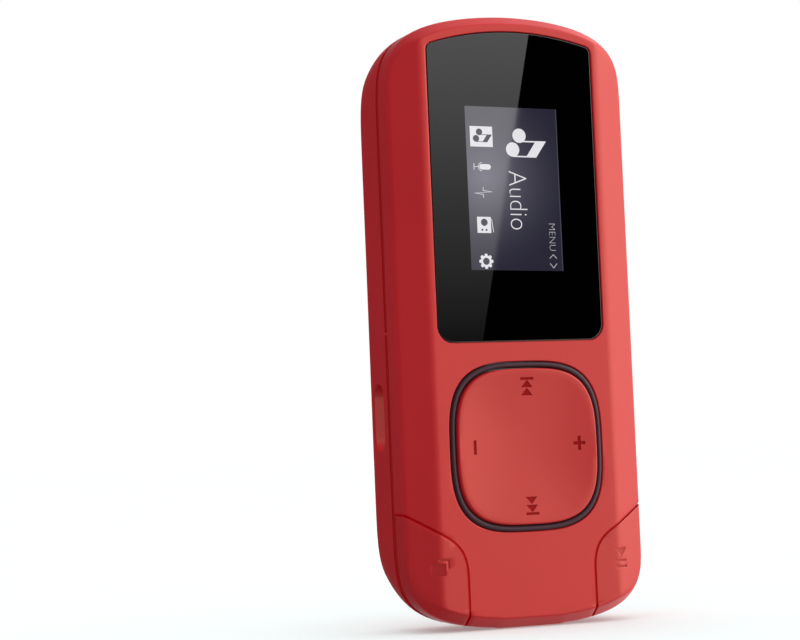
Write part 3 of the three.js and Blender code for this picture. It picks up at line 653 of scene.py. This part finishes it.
def build_pad():
    edge = pad_ring(-RING_GAP - RING_WIDTH - PAD_GAP + 0.04)
    stations = []

    def scaled(scale):
        return [(x * scale, PAD["z"] + (z - PAD["z"]) * scale) for x, z in edge]

    dish_edge = 0.975
    for i in range(16):
        scale = 0.01 + (dish_edge - 0.01) * i / 15
        stations.append((-PAD_PROUD + DISH_DEPTH * (1 - (scale / dish_edge) ** 2), scaled(scale)))
    for turn in range(1, 6):
        angle = turn / 5 * math.pi / 2
        depth = -PAD_PROUD + 0.22 * (1 - math.cos(angle))
        stations.append((depth, scaled(dish_edge + 0.025 * math.sin(angle))))
    stations += [(0.6, scaled(1)), (2.9, scaled(1))]
    pad = loft("nav_pad_skin", stations, coral_button)
    marks = track_mark(29.4, 1) + track_mark(15.05, -1)
    marks += [bar(-7.05, 22.3, 0.4, 1.75), bar(7.0, 22.35, 0.4, 1.75), bar(7.0, 22.35, 1.55, 0.4)]
    # The mark floors get a deep red, painted shade of the recesses.
    sink_marks(pad, marks, 0.16, mark_and_rim_painted_shade)
    finish_edges(pad, 0.03, segments=1)
    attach(pad, "nav_pad")
    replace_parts(pad, "nav_pad")


def build_ring():
    outer, inner = -RING_GAP, -RING_GAP - RING_WIDTH
    middle, half = (outer + inner) / 2, (outer - inner) / 2
    profile = [(outer, 1.9), (outer, 0.5), (outer, 0.16)]
    for i in range(1, 8):
        angle = i / 8 * math.pi
        profile.append((middle + half * math.cos(angle), 0.16 - 0.26 * math.sin(angle)))
    profile += [(inner, 0.16), (inner, 0.5), (inner, 1.9)]
    bm = bmesh.new()
    rows = [[bm.verts.new(place(x, depth, z)) for x, z in pad_ring(margin)] for margin, depth in profile]
    skin_rows(bm, [*rows, rows[0]], capped=False)
    ring = make_object("nav_ring_skin", bm, trim)
    ring.data.set_sharp_from_angle(angle=math.radians(50))
    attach(ring, "case")
    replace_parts(ring, "nav_ring")


def build_window():
    edge = 0.08
    stations = []
    for turn in range(5):
        angle = turn / 4 * math.pi / 2
        depth = WINDOW_FRONT + edge * (1 - math.sin(angle))
        stations.append((depth, window_ring(-edge * (1 - math.cos(angle)))))
    stations.reverse()
    stations.append((WINDOW_BACK, window_ring(0)))
    pane = loft("window_pane", stations, black_pane)
    pane.data.set_sharp_from_angle(angle=math.radians(60))
    apply_modifier(pane, "WEIGHTED_NORMAL", keep_sharp=True, weight=100)
    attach(pane, "case")
    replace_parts(pane, "display_window")


build_pad()
build_ring()
build_window()

# ---- Display --------------------------------------------------------------------------------------------

SCREEN = {"left": -6.32, "right": 6.1, "base": 43.95, "top": 64.3}
LEAN = 0.021  # the lit area sits a little askew: its rows fall towards the right
LIT_FRONT = WINDOW_FRONT - 0.006


def lit_material(name, colour, strength, ior=1.5):
    material, tree, shader = new_material(name, (0.004, 0.004, 0.005), 0.03)
    shader.inputs["IOR"].default_value = ior
    shader.inputs["Emission Color"].default_value = (*colour, 1)
    shader.inputs["Emission Strength"].default_value = strength
    return material, tree, shader


def glow_material(name, low, high, ior=1.5, ball=None):
    """Glowing surface between two colours, by distance from a point or by a fine noise."""
    material, tree, shader = lit_material(name, high, 1.0, ior)
    ramp = add_node(tree, "ShaderNodeValToRGB")
    ramp.color_ramp.elements[0].color = (*low, 1)
    ramp.color_ramp.elements[1].color = (*high, 1)
    if ball:
        middle, radius = ball
        where = add_node(tree, "ShaderNodeTexCoord")
        spread = add_node(tree, "ShaderNodeMapping")
        spread.inputs["Location"].default_value = [-v / radius for v in middle]
        spread.inputs["Scale"].default_value = [1 / radius] * 3
        fall = add_node(tree, "ShaderNodeTexGradient", gradient_type="QUADRATIC_SPHERE")
        tree.links.new(where.outputs["Object"], spread.inputs["Vector"])
        tree.links.new(spread.outputs["Vector"], fall.inputs["Vector"])
        tree.links.new(fall.outputs["Fac"], ramp.inputs["Fac"])
    else:
        tree.links.new(add_noise(tree, 9000, 1), ramp.inputs["Fac"])
    tree.links.new(ramp.outputs["Color"], shader.inputs["Emission Color"])
    return material


GLOW_MIDDLE = place(-4.0, 0, 55.4)
GLOW_RADIUS = 0.0125
GROUND_LOW = (0.019, 0.0175, 0.033)
GROUND_HIGH = (0.15, 0.143, 0.185)
lit_ground = glow_material("display_ground", GROUND_LOW, GROUND_HIGH, 1.9, (GLOW_MIDDLE, GLOW_RADIUS))
lit_rim = glow_material("display_rim", (0.06, 0.058, 0.085), (0.075, 0.072, 0.1))
lit_symbol = glow_material("lit_symbol", (0.66, 0.65, 0.69), (0.88, 0.87, 0.9))
unlit_symbol = glow_material("unlit_symbol", (0.07, 0.067, 0.085), (0.08, 0.077, 0.095))


def add_lit(name, outlines, front, material=lit_symbol):
    """Lit shapes on the display: thin plates, in one piece."""
    bm = bmesh.new()
    for outline in outlines:
        near = [bm.verts.new(place(x, front, z - LEAN * x)) for x, z in outline]
        far = [bm.verts.new(place(x, front + 0.004, z - LEAN * x)) for x, z in outline]
        skin_rows(bm, [near, far])
    piece = make_object(name, bm, material)
    piece.data.set_sharp_from_angle(angle=math.radians(30))
    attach(piece, "case")
    return piece


def turned(cx, cz, points):
    """Points drawn upright as right, up, turned a quarter turn clockwise about a centre on the display."""
    return [(cx + up, cz - right) for right, up in points]


def disc(right, up, radius, count=28):
    return arc(right, up, radius, 0, 2 * math.pi * (count - 1) / count, count - 1)


def stroke(points, width):
    """Outline of a thin line through points, with mitred corners."""
    sides = ([], [])
    for i, point in enumerate(points):
        before = points[max(i - 1, 0)]
        after = points[min(i + 1, len(points) - 1)]
        ways = [Vector(b) - Vector(a) for a, b in ((before, point), (point, after)) if a != b]
        normals = [Vector((-way.y, way.x)).normalized() for way in ways]
        middle = (normals[0] + normals[-1]).normalized()
        offset = middle * (width / 2 / max(middle.dot(normals[0]), 0.2))
        sides[0].append(tuple(Vector(point) + offset))
        sides[1].append(tuple(Vector(point) - offset))
    return sides[0] + sides[1][::-1]


NOTE_HEADS = [(-1.0, -0.65), (0.75, -1.6)]
NOTE_HEAD_RADIUS = 0.9
NOTE_STEMS = [(-0.3, 2.9), (1.6, 1.5)]
NOTE_BEAM = [(-0.4, 1.6), (-0.4, 2.99), (1.67, 1.57), (1.67, 0.18)]


def add_note(name, cx, cz, size, front, material=lit_symbol):
    """A pair of beamed notes: two heads, two stems and a beam that falls to the right."""
    outlines = [disc(right * size, up * size, NOTE_HEAD_RADIUS * size) for right, up in NOTE_HEADS]
    for (_right, head), (right, top) in zip(NOTE_HEADS, NOTE_STEMS):
        ends = [(right * size, head * size), (right * size, top * size)]
        outlines.append(stroke(ends, 0.17 * size))
    outlines.append([(right * size, up * size) for right, up in NOTE_BEAM])
    for index, outline in enumerate(outlines):
        add_lit(f"{name}_{index + 1}", [turned(cx, cz, outline)], front - 0.0012 * index, material)


def add_word(name, text, cx, cz, cap_height, length, thinning):
    """Generic word on the display, reading downwards."""
    curve = bpy.data.curves.new(name, "FONT")
    curve.body = text
    curve.size = 1
    curve.offset = -thinning
    curve.extrude = 0.002
    curve.resolution_u = 6
    temp = bpy.data.objects.new(name, curve)
    bpy.context.scene.collection.objects.link(temp)
    bpy.context.view_layer.update()
    mesh = bpy.data.meshes.new_from_object(temp.evaluated_get(bpy.context.evaluated_depsgraph_get()))
    bpy.data.objects.remove(temp)
    low = [min(v.co[k] for v in mesh.vertices) for k in (0, 1)]
    high = [max(v.co[k] for v in mesh.vertices) for k in (0, 1)]
    for vertex in mesh.vertices:
        along = (vertex.co.x - low[0]) / (high[0] - low[0]) * length
        up = (vertex.co.y - low[1]) / (high[1] - low[1]) * cap_height
        x = cx + up
        vertex.co = place(x, LIT_FRONT - 0.006 - vertex.co.z, cz - along - LEAN * x)
    obj = bpy.data.objects.new(name, mesh)
    bpy.context.scene.collection.objects.link(obj)
    bm = bmesh.new()
    bm.from_mesh(mesh)
    bmesh.ops.remove_doubles(bm, verts=bm.verts, dist=1e-8)
    bmesh.ops.recalc_face_normals(bm, faces=bm.faces)
    bm.to_mesh(mesh)
    bm.free()
    mesh.materials.clear()
    mesh.materials.append(lit_symbol)
    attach(obj, "case")


def gear_outline(outer, inner, teeth=8):
    points = []
    for i in range(teeth):
        middle = 2 * math.pi * i / teeth
        for turn, radius in ((-0.3, inner), (-0.18, outer), (0.18, outer), (0.3, inner)):
            angle = middle + turn * 2 * math.pi / teeth * 1.2
            points.append((radius * math.cos(angle), radius * math.sin(angle)))
    return points


def build_display():
    left, right, base, top = (SCREEN[k] for k in ("left", "right", "base", "top"))
    area = [(left, base), (right, base), (right, top), (left, top)]
    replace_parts(add_lit("display_ground", [area], LIT_FRONT, lit_ground), "display_panel")
    front = LIT_FRONT - 0.006
    over = front - 0.006
    rim = bar(right - 0.07, (base + top) / 2, 0.1, top - base)
    add_lit("display_rim", [rim], front, lit_rim)

    def symbol(name, z, outlines, depth=front, material=lit_symbol):
        for index, outline in enumerate(outlines):
            add_lit(f"{name}_{index + 1}", [turned(-4.3, z, outline)], depth - 0.001 * index, material)

    symbol("tile", 60.54, [[(-1.27, -1.46), (1.27, -1.46), (1.27, 1.56), (-1.27, 1.56)]])
    add_note("tile_note", -4.21, 60.64, 0.47, over, unlit_symbol)
    add_note("large_note", 1.52, 59.8, 1.0, front)
    capsule = arc(0, 0.82, 0.34, 0, math.pi, 10) + arc(0, -0.05, 0.34, math.pi, 2 * math.pi, 10)
    cradle = stroke(arc(0, 0.0, 0.52, -0.1, -math.pi + 0.1, 12), 0.07)
    stem = stroke([(0, -0.55), (0, -1.05)], 0.07)
    foot = stroke([(-0.4, -1.1), (0.4, -1.1)], 0.08)
    symbol("voice_symbol", 56.77, [capsule, cradle, stem, foot])
    beat = [(-0.67, 0), (-0.25, 0), (-0.1, 1.1), (0.1, -1.1), (0.25, 0), (0.67, 0)]
    symbol("beat_symbol", 53.58, [stroke(beat, 0.07)])
    box = [(-1.0, -1.0), (1.0, -1.0), (1.0, 0.85), (-1.0, 0.85)]
    symbol("radio_symbol", 49.55, [box, stroke([(-0.75, 0.95), (0.9, 1.15)], 0.08)])
    dial = [disc(-0.32, -0.05, 0.45), bar(0.62, 0.2, 0.24, 0.24), bar(0.62, -0.35, 0.24, 0.24)]
    symbol("radio_dial", 49.55, dial, over, unlit_symbol)
    symbol("gear_symbol", 45.04, [gear_outline(0.95, 0.74)])
    symbol("gear_hole", 45.04, [disc(0, 0, 0.44)], over, unlit_symbol)
    add_word("menu_word", "Audio", -0.78, 56.36, 2.36, 7.3, 0.022)
    add_word("hint_word", "MENU", 4.38, 49.85, 0.82, 3.35, 0.034)
    for index, (tip, z) in enumerate(((-0.24, 45.75), (0.28, 44.6))):
        chevron = stroke([(-tip, 0.48), (tip, 0), (-tip, -0.48)], 0.05)
        add_lit(f"hint_arrow_{index + 1}", [turned(4.8, z, chevron)], front)


build_display()

# ---- Clip -----------------------------------------------------------------------------------------------


def quadratic(a, b, c, steps=6):
    return [bezier(a, b, c, i / steps) for i in range(1, steps + 1)]


def clip_side_view():
    """Thumb lever above the pin, and a jaw below it that bends in to the case: depth, z points."""
    outer, inner, jaw = CLIP["back"], CLIP["back"] - CLIP["thick"], CLIP["jaw"]
    base, top = CLIP["base"], CLIP["top"]
    points = [(jaw, base + 0.9)]
    points += quadratic((jaw, base + 0.9), (jaw, base), (jaw + 0.9, base))
    points += quadratic((jaw + 0.9, base), (outer, base + 0.6), (outer, base + 6.5), 10)
    points += [(outer, top - 6)]
    points += quadratic((outer, top - 6), (outer, top), (outer - 1.1, top), 10)
    points += quadratic((outer - 1.1, top), (inner - 0.2, top), (inner - 0.2, top - 1.5))
    points += [(inner, top - 5), (inner, base + 8.5)]
    points += quadratic((inner, base + 8.5), (inner, base + 5), (jaw + 0.6, base + 3.8), 8)
    points += quadratic((jaw + 0.6, base + 3.8), (jaw, base + 3.6), (jaw, base + 3))
    return points


def clip_front_view():
    """Long plate with rounded corners, a little narrower at the jaw: x, z points."""
    wide, narrow = CLIP["half_width"], CLIP["half_width"] - 1.2
    base, top, low, high = CLIP["base"], CLIP["top"], 4, 5
    right = [(narrow - low, base)]
    right += quadratic((narrow - low, base), (narrow, base), (narrow, base + low), 10)
    right += [(wide, top - high)]
    right += quadratic((wide, top - high), (wide, top), (wide - high, top), 10)
    return right + [(-x, z) for x, z in right[::-1]]


EAR = {"inner": 5.6, "outer": 7.0, "root": 15.2}
GRIP = {"count": 4, "pitch": 1.7, "radius": 0.55, "from_top": 3.4, "outside": 0.25, "half_width": 5.2}


def room_tool(half, back, low, high):
    """Box cut into the clip's inner face, to a depth."""
    ring = [(-half, low), (half, low), (half, high), (-half, high)]
    return loft("room_tool", [(12, ring), (back, ring)])


def build_clip():
    reach = CLIP["half_width"] + 1
    z, depth, back = CLIP["z"], CLIP["depth"], CLIP["back"]
    arm = side_loft("clip_arm_skin", [(-reach, clip_side_view()), (reach, clip_side_view())], coral)
    plan = clip_front_view()
    cut(arm, [loft("clip_plan_tool", [(CLIP["jaw"] - 1, plan), (back + 1, plan)])], "INTERSECT")
    hinge_room = room_tool(5.6, back - 1.05, z - 2.2, z + 2.2)
    spring_room = room_tool(3.2, back - 1.5, z, z + 5.8)
    cut(arm, [hinge_room, spring_room])
    for i in range(GRIP["count"]):
        groove_z = CLIP["top"] - GRIP["from_top"] - GRIP["pitch"] * i
        groove = arc(back + GRIP["outside"], groove_z, GRIP["radius"], 0, 2 * math.pi * 15 / 16, 15)
        cut(arm, [side_loft("groove_tool", [(-GRIP["half_width"], groove), (GRIP["half_width"], groove)])])
    finish_edges(arm, 0.35, angle=40, segments=3)
    ears = []
    for side in (-1, 1):
        root = [(EAR["root"], z - KNUCKLE_RADIUS), (EAR["root"], z + KNUCKLE_RADIUS)]
        ring = arc(depth, z, KNUCKLE_RADIUS, math.pi / 2, 1.5 * math.pi, 20) + root
        span = sorted((side * EAR["inner"], side * EAR["outer"]))
        name = "clip_ear_left" if side < 0 else "clip_ear_right"
        ears.append(side_loft(name, [(x, ring) for x in span], coral))
    for ear in ears:
        finish_edges(ear, 0.1)
        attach(ear, "clip")
    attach(arm, "clip")
    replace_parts(arm, "clip_arm")


build_clip()

# ---- Finishes of the CAD nodes that stay -----------------------------------------------------------------

SLOT_FINISH = {
    "bright_steel": moulded("bright_steel", (0.62, 0.63, 0.65), 0.28, 1.0, 1200, 0.000004),
    "spring_steel": moulded("spring_steel", (0.55, 0.55, 0.57), 0.25, 1.0, 2200, 0.000004),
    "green_board": moulded("green_board", (0.015, 0.1, 0.05), 0.4, 0.0, 900, 0.00001),
    "chip_black": moulded("chip_black", (0.015, 0.015, 0.016), 0.55, 0.0, 3000, 0.00001),
    "black_foam": moulded("black_foam", (0.02, 0.02, 0.02), 0.9, 0.0, 1800, 0.00005),
    "grey_silicone": moulded("grey_silicone", (0.3, 0.3, 0.32), 0.6),
    "cream_plastic": moulded("cream_plastic", (0.65, 0.6, 0.5), 0.45),
    "amber_film": moulded("amber_film", (0.42, 0.16, 0.03), 0.3, 0.0, 700, 0.000004),
    "cell_foil": moulded("cell_foil", (0.5, 0.51, 0.53), 0.4, 0.8, 500, 0.00001),
    "red_wire": moulded("red_wire", (0.45, 0.02, 0.02), 0.45),
    "black_wire": moulded("black_wire", (0.01, 0.01, 0.01), 0.45),
    "display_glass": black_pane,
    "dark_trim": trim,
    "black_window": black_pane,
    "coral_shell": coral,
    "coral_buttons": coral_button,
}
for row in frame["record"]["subparts"]:
    node = frame["nodes"][row["node"]]
    node.data.materials.clear()
    node.data.materials.append(SLOT_FINISH[row["material_slot"]])

# ---- Studio ---------------------------------------------------------------------------------------------

EYE = (-111.4, -248.2, 22.1)  # the camera, in the player's millimetres
LOOK = (0.358, 0.932, 0.060)
ROLL = -2.41


def build_floor():
    """Matt pale floor, lighter to look at than as a source of bounced light."""
    bm = bmesh.new()
    bmesh.ops.create_grid(bm, x_segments=1, y_segments=1, size=12)
    floor = make_object("floor", bm)
    material, tree, shader = new_material("floor_white", (0.4, 0.4, 0.4), 0.7)
    shader.inputs["Specular IOR Level"].default_value = 0.0
    path = add_node(tree, "ShaderNodeLightPath")
    tone = add_node(tree, "ShaderNodeMix", data_type="RGBA")
    tone.inputs["A"].default_value = (0.6, 0.6, 0.6, 1)
    tone.inputs["B"].default_value = (0.92, 1.0, 1.0, 1)
    tree.links.new(path.outputs["Is Camera Ray"], tone.inputs["Factor"])
    tree.links.new(tone.outputs["Result"], shader.inputs["Base Color"])
    floor.data.materials.append(material)
    floor.visible_glossy = False


def add_span(tree, source, low, high):
    """Maps one part of a direction from its range to a light strength."""
    span = add_node(tree, "ShaderNodeMapRange")
    for key, value in zip(("From Min", "From Max", "To Min", "To Max"), (*low, *high)):
        span.inputs[key].default_value = value
    tree.links.new(source, span.inputs["Value"])
    return span.outputs["Result"]


def build_world():
    """White to look at. As light it grows from left to right, more so in reflections.
    Its diffuse light also grows towards the zenith."""
    world = bpy.data.worlds.new("studio")
    bpy.context.scene.world = world
    world.use_nodes = True
    tree = world.node_tree
    tree.nodes.clear()
    output = add_node(tree, "ShaderNodeOutputWorld")
    where = add_node(tree, "ShaderNodeTexCoord")
    split = add_node(tree, "ShaderNodeSeparateXYZ")
    path = add_node(tree, "ShaderNodeLightPath")
    tree.links.new(where.outputs["Generated"], split.inputs[0])
    sideways = split.outputs["X"]
    seen = add_node(tree, "ShaderNodeBackground", Color=(1, 1, 1, 1), Strength=1.0)
    diffuse = add_node(tree, "ShaderNodeBackground", Color=(1, 1, 1, 1))
    glossy = add_node(tree, "ShaderNodeBackground", Color=(1, 1, 1, 1))
    total = add_node(tree, "ShaderNodeMath", operation="ADD")
    tree.links.new(add_span(tree, sideways, (-0.2, 0.9), (0.24, 0.47)), total.inputs[0])
    tree.links.new(add_span(tree, split.outputs["Z"], (0.3, 1.0), (0.0, 1.0)), total.inputs[1])
    tree.links.new(total.outputs[0], diffuse.inputs["Strength"])
    tree.links.new(add_span(tree, sideways, (-0.15, 0.6), (0.0, 2.4)), glossy.inputs["Strength"])
    lit = add_node(tree, "ShaderNodeMixShader")
    tree.links.new(path.outputs["Is Glossy Ray"], lit.inputs["Fac"])
    tree.links.new(diffuse.outputs[0], lit.inputs[1])
    tree.links.new(glossy.outputs[0], lit.inputs[2])
    both = add_node(tree, "ShaderNodeMixShader")
    tree.links.new(path.outputs["Is Camera Ray"], both.inputs["Fac"])
    tree.links.new(lit.outputs[0], both.inputs[1])
    tree.links.new(seen.outputs[0], both.inputs[2])
    tree.links.new(both.outputs[0], output.inputs["Surface"])


def add_sun(name, azimuth, elevation, strength, angle):
    """Soft distant lamp without shadow. Azimuth turns from the front of the player towards its right."""
    data = bpy.data.lights.new(name, "SUN")
    data.energy = strength
    data.angle = math.radians(angle)
    data.use_shadow = False
    light = bpy.data.objects.new(name, data)
    bpy.context.scene.collection.objects.link(light)
    a, e = math.radians(azimuth), math.radians(elevation)
    towards = Vector((math.sin(a) * math.cos(e), -math.cos(a) * math.cos(e), math.sin(e)))
    light.rotation_euler = (-towards).to_track_quat("-Z", "Y").to_euler()
    return light


CARD_DISTANCE = 400


def mirrored(x, z):
    """Where the camera's sight of a point on the window lands on the card plane in front of the player."""
    reach = CARD_DISTANCE / -EYE[1]
    return (x + reach * (x - EYE[0]), z + reach * (z - EYE[2]))


def build_card(name, corners, bright):
    """Studio card that only polished surfaces see."""
    bm = bmesh.new()
    bm.faces.new([bm.verts.new(place(x, -CARD_DISTANCE, z)) for x, z in (mirrored(*c) for c in corners)])
    card = make_object(name, bm)
    material = bpy.data.materials.new(name)
    material.use_nodes = True
    tree = material.node_tree
    tree.nodes.clear()
    output = add_node(tree, "ShaderNodeOutputMaterial")
    glow = add_node(tree, "ShaderNodeEmission", Color=(0, 0, 0, 1), Strength=1.0)
    if bright:
        where = add_node(tree, "ShaderNodeTexCoord")
        split = add_node(tree, "ShaderNodeSeparateXYZ")
        span = add_node(tree, "ShaderNodeMapRange")
        span.inputs["From Min"].default_value = mirrored(0, 34)[1] * MM
        span.inputs["From Max"].default_value = mirrored(0, 75)[1] * MM
        ramp = add_node(tree, "ShaderNodeValToRGB")
        ramp.color_ramp.elements[0].color = (*[0.1] * 3, 1)
        ramp.color_ramp.elements[1].color = (*[2.0] * 3, 1)
        middle = ramp.color_ramp.elements.new(0.46)
        middle.color = (*[0.82] * 3, 1)
        tree.links.new(where.outputs["Object"], split.inputs[0])
        tree.links.new(split.outputs["Z"], span.inputs["Value"])
        tree.links.new(span.outputs["Result"], ramp.inputs["Fac"])
        tree.links.new(ramp.outputs["Color"], glow.inputs["Color"])
    tree.links.new(glow.outputs[0], output.inputs["Surface"])
    card.data.materials.append(material)
    card.visible_camera = False
    card.visible_diffuse = False
    card.visible_shadow = False
    card.visible_transmission = False


def build_camera():
    data = bpy.data.cameras.new("camera")
    data.lens = 99
    data.sensor_width = 36
    data.clip_start = 0.01
    camera = bpy.data.objects.new("camera", data)
    bpy.context.scene.collection.objects.link(camera)
    camera.location = place(*EYE)
    look = Vector(LOOK).normalized()
    roll = Matrix.Rotation(math.radians(ROLL), 4, "Z")
    camera.rotation_euler = (look.to_track_quat("-Z", "Y").to_matrix().to_4x4() @ roll).to_euler()
    bpy.context.scene.camera = camera


build_floor()
build_world()
build_camera()
add_sun("key", 66, 24, 1.85, 35)
sheen = add_sun("sheen", 50, 10, 4.0, 64)
sheen.visible_diffuse = False
build_card("bright_card", [(-14, 33), (-5.74, 33), (3.29, 76), (-14, 76)], True)
build_card("dark_card", [(-5.74, 33), (16, 33), (16, 76), (3.29, 76)], False)
bpy.context.scene.view_settings.view_transform = "Standard"
